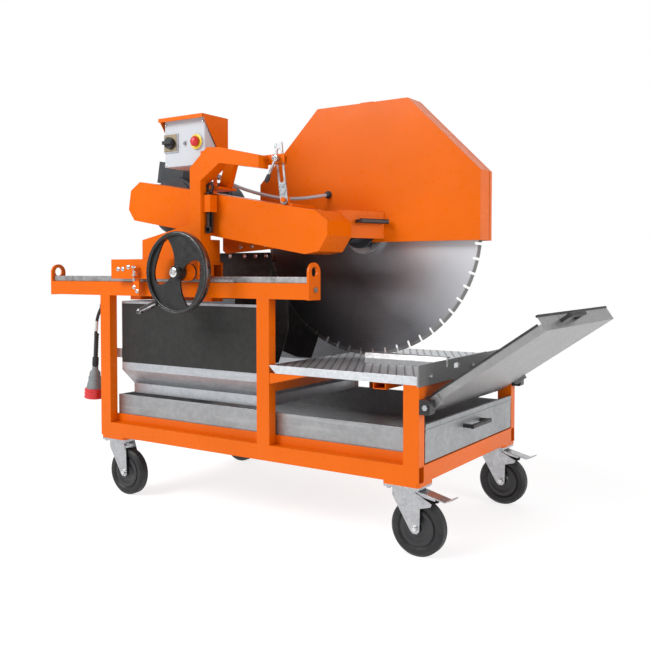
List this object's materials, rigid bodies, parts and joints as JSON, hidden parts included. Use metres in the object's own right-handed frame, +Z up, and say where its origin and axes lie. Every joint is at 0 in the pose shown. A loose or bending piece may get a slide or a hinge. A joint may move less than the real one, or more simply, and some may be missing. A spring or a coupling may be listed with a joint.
{
  "type": "masonry saw",
  "caption": "Wheeled masonry table saw with a travelling, swinging motor and blade head, guarded blade, slotted table, hopper, slurry tray and folding splash panel.",
  "frame": {"origin": "middle of the machine's footprint at floor level, the free supply lead left out", "axes": "+X along the machine towards the splash panel, +Y away from the operator, +Z up"},
  "size_m": [2.3474, 1.0936, 1.66],
  "materials": {
    "black_plastic": "fine grained",
    "black_rubber": "matt",
    "blade_steel": "ground, radially brushed",
    "dark_iron": "black lacquered",
    "galvanised_sheet": "hot-dip galvanised, spangled",
    "grey_cabinet": "light grey powder coat",
    "grey_plastic": "fine grained",
    "motor_grey": "dark painted casting",
    "orange_paint": "gloss powder coat",
    "rail_steel": "ground steel",
    "red_plastic": "moulded",
    "tyre_rubber": "moulded",
    "zinc_plate": "bright zinc plated"
  },
  "bodies": {
    "frame": {"base_frame": "orange_paint", "frame_posts": "orange_paint", "rail_beam": "orange_paint", "rail_end_plates": "orange_paint", "guide_rail": "rail_steel", "gear_rack": "rail_steel", "table_supports": "orange_paint", "table_plates": "galvanised_sheet", "stop_plate": "galvanised_sheet", "hopper": "galvanised_sheet", "hopper_panel": "black_plastic", "hinge_blocks": "dark_iron", "frame_fasteners": "zinc_plate", "caster_plates": "zinc_plate", "lead_gland": "black_plastic", "power_lead": "black_rubber", "power_plug": "grey_plastic"},
    "tray": {"slurry_tray": "galvanised_sheet", "tray_handle": "black_plastic"},
    "panel": {"splash_panel": "galvanised_sheet", "panel_trim": "black_rubber"},
    "fence": {"work_fence": "galvanised_sheet"},
    "carriage": {"carriage_frame": "orange_paint", "column": "orange_paint", "control_canopy": "orange_paint", "control_box": "grey_cabinet", "splash_curtain": "black_rubber", "spanners": "dark_iron"},
    "handwheel": {"handwheel": "dark_iron", "pinion_shaft": "zinc_plate"},
    "crank": {"crank_grip": "dark_iron"},
    "plunger": {"index_plunger": "zinc_plate"},
    "arm": {"arm_beam": "orange_paint", "belt_guard": "orange_paint", "motor": "motor_grey", "spindle_housing": "dark_iron", "hood_shell": "orange_paint", "spindle_cover": "orange_paint", "hood_handle": "black_plastic", "drive_belts": "black_rubber", "water_hose": "grey_plastic"},
    "hood_cover": {"hood_cover": "orange_paint"},
    "blade": {"saw_blade": "blade_steel", "blade_flanges": "zinc_plate", "spindle_shaft": "rail_steel"},
    "motor_pulley": {"motor_pulley": "dark_iron"},
    "depth_bar": {"depth_bar": "zinc_plate"},
    "clamp_lever": {"clamp_lever": "zinc_plate"},
    "switch_knob": {"switch_knob": "black_plastic"},
    "stop_button": {"stop_button": "red_plastic"},
    "fork_front_left": {"caster_fork_front_left": "zinc_plate"},
    "wheel_front_left": {"caster_wheel_front_left": "tyre_rubber"},
    "fork_rear_left": {"caster_fork_rear_left": "zinc_plate"},
    "wheel_rear_left": {"caster_wheel_rear_left": "tyre_rubber"},
    "fork_front_right": {"caster_fork_front_right": "zinc_plate"},
    "wheel_front_right": {"caster_wheel_front_right": "tyre_rubber"},
    "pedal_front_right": {"brake_pedal_front_right": "zinc_plate"},
    "fork_rear_right": {"caster_fork_rear_right": "zinc_plate"},
    "wheel_rear_right": {"caster_wheel_rear_right": "tyre_rubber"},
    "pedal_rear_right": {"brake_pedal_rear_right": "zinc_plate"}
  },
  "joints": [
    {"name": "carriage_slide", "type": "slide", "parent": "frame", "child": "carriage", "axis": [1, 0, 0], "range_m": [-0.4, 0.12]},
    {"name": "handwheel_turn", "type": "hinge", "parent": "carriage", "child": "handwheel", "pos_m": [-0.2627, -0.44223, 0.973], "axis": [0, 1, 0], "range_deg": [-900, 271]},
    {"name": "crank_spin", "type": "hinge", "parent": "handwheel", "child": "crank", "pos_m": [-0.35934, -0.45423, 0.85673], "axis": [-0.3199, -0.8658, -0.3849], "continuous": true},
    {"name": "plunger_lift", "type": "slide", "parent": "carriage", "child": "plunger", "axis": [0, 0, 1], "range_m": [0, 0.012], "stiffness_N_per_m": 500, "springref_m": -0.002},
    {"name": "arm_swing", "type": "hinge", "parent": "carriage", "child": "arm", "pos_m": [-0.2357, -0.15223, 1.208], "axis": [0, -1, 0], "range_deg": [-3.5, 8]},
    {"name": "hood_open", "type": "hinge", "parent": "arm", "child": "hood_cover", "pos_m": [0.2763, 0.11877, 1.656], "axis": [1, 0, 0], "range_deg": [0, 100]},
    {"name": "blade_spin", "type": "hinge", "parent": "arm", "child": "blade", "pos_m": [0.2743, 0.08777, 1.138], "axis": [0, 1, 0], "continuous": true},
    {"name": "motor_spin", "type": "hinge", "parent": "arm", "child": "motor_pulley", "pos_m": [-0.5897, -0.22223, 1.269], "axis": [0, 1, 0], "continuous": true},
    {"name": "depth_bar_turn", "type": "hinge", "parent": "arm", "child": "depth_bar", "pos_m": [0.1443, -0.30323, 1.246], "axis": [0, -1, 0], "range_deg": [-9, 4]},
    {"name": "clamp_turn", "type": "hinge", "parent": "carriage", "child": "clamp_lever", "pos_m": [0.1243, -0.30323, 1.4], "axis": [0, 1, 0], "range_deg": [-60, 18]},
    {"name": "switch_turn", "type": "hinge", "parent": "carriage", "child": "switch_knob", "pos_m": [-0.4287, -0.32223, 1.505], "axis": [0, 1, 0], "range_deg": [0, 90]},
    {"name": "stop_press", "type": "slide", "parent": "carriage", "child": "stop_button", "axis": [0, 1, 0], "range_m": [0, 0.006], "stiffness_N_per_m": 1200},
    {"name": "tray_slide", "type": "slide", "parent": "frame", "child": "tray", "axis": [1, 0, 0], "range_m": [0, 0.9]},
    {"name": "panel_fold", "type": "hinge", "parent": "frame", "child": "panel", "pos_m": [0.7573, 0.09877, 0.522], "axis": [0, -1, 0], "range_deg": [-33, 25]},
    {"name": "fence_slide", "type": "slide", "parent": "frame", "child": "fence", "axis": [0, 1, 0], "range_m": [-0.15, 0.1]},
    {"name": "swivel_front_left", "type": "hinge", "parent": "frame", "child": "fork_front_left", "pos_m": [-0.7617, -0.28723, 0.23], "axis": [0, 0, 1], "continuous": true},
    {"name": "roll_front_left", "type": "hinge", "parent": "fork_front_left", "child": "wheel_front_left", "pos_m": [-0.7167, -0.28723, 0.1], "axis": [0, 1, 0], "continuous": true},
    {"name": "swivel_rear_left", "type": "hinge", "parent": "frame", "child": "fork_rear_left", "pos_m": [-0.7617, 0.48477, 0.23], "axis": [0, 0, 1], "continuous": true},
    {"name": "roll_rear_left", "type": "hinge", "parent": "fork_rear_left", "child": "wheel_rear_left", "pos_m": [-0.7167, 0.48477, 0.1], "axis": [0, 1, 0], "continuous": true},
    {"name": "swivel_front_right", "type": "hinge", "parent": "frame", "child": "fork_front_right", "pos_m": [0.6623, -0.28723, 0.23], "axis": [0, 0, 1], "continuous": true},
    {"name": "roll_front_right", "type": "hinge", "parent": "fork_front_right", "child": "wheel_front_right", "pos_m": [0.7073, -0.28723, 0.1], "axis": [0, 1, 0], "continuous": true},
    {"name": "brake_front_right", "type": "hinge", "parent": "fork_front_right", "child": "pedal_front_right", "pos_m": [0.7023, -0.28723, 0.222], "axis": [0, 1, 0], "range_deg": [0, 10]},
    {"name": "swivel_rear_right", "type": "hinge", "parent": "frame", "child": "fork_rear_right", "pos_m": [0.6623, 0.48477, 0.23], "axis": [0, 0, 1], "continuous": true},
    {"name": "roll_rear_right", "type": "hinge", "parent": "fork_rear_right", "child": "wheel_rear_right", "pos_m": [0.7073, 0.48477, 0.1], "axis": [0, 1, 0], "continuous": true},
    {"name": "brake_rear_right", "type": "hinge", "parent": "fork_rear_right", "child": "pedal_rear_right", "pos_m": [0.7023, 0.48477, 0.222], "axis": [0, 1, 0], "range_deg": [0, 10]}
  ],
  "couplings": [
    {"joint": "handwheel_turn", "follows": "carriage_slide", "rad_per_m": 39.216},
    {"joint": "motor_spin", "follows": "blade_spin", "ratio": 1.25},
    {"joint": "depth_bar_turn", "follows": "arm_swing", "ratio": -1}
  ]
}
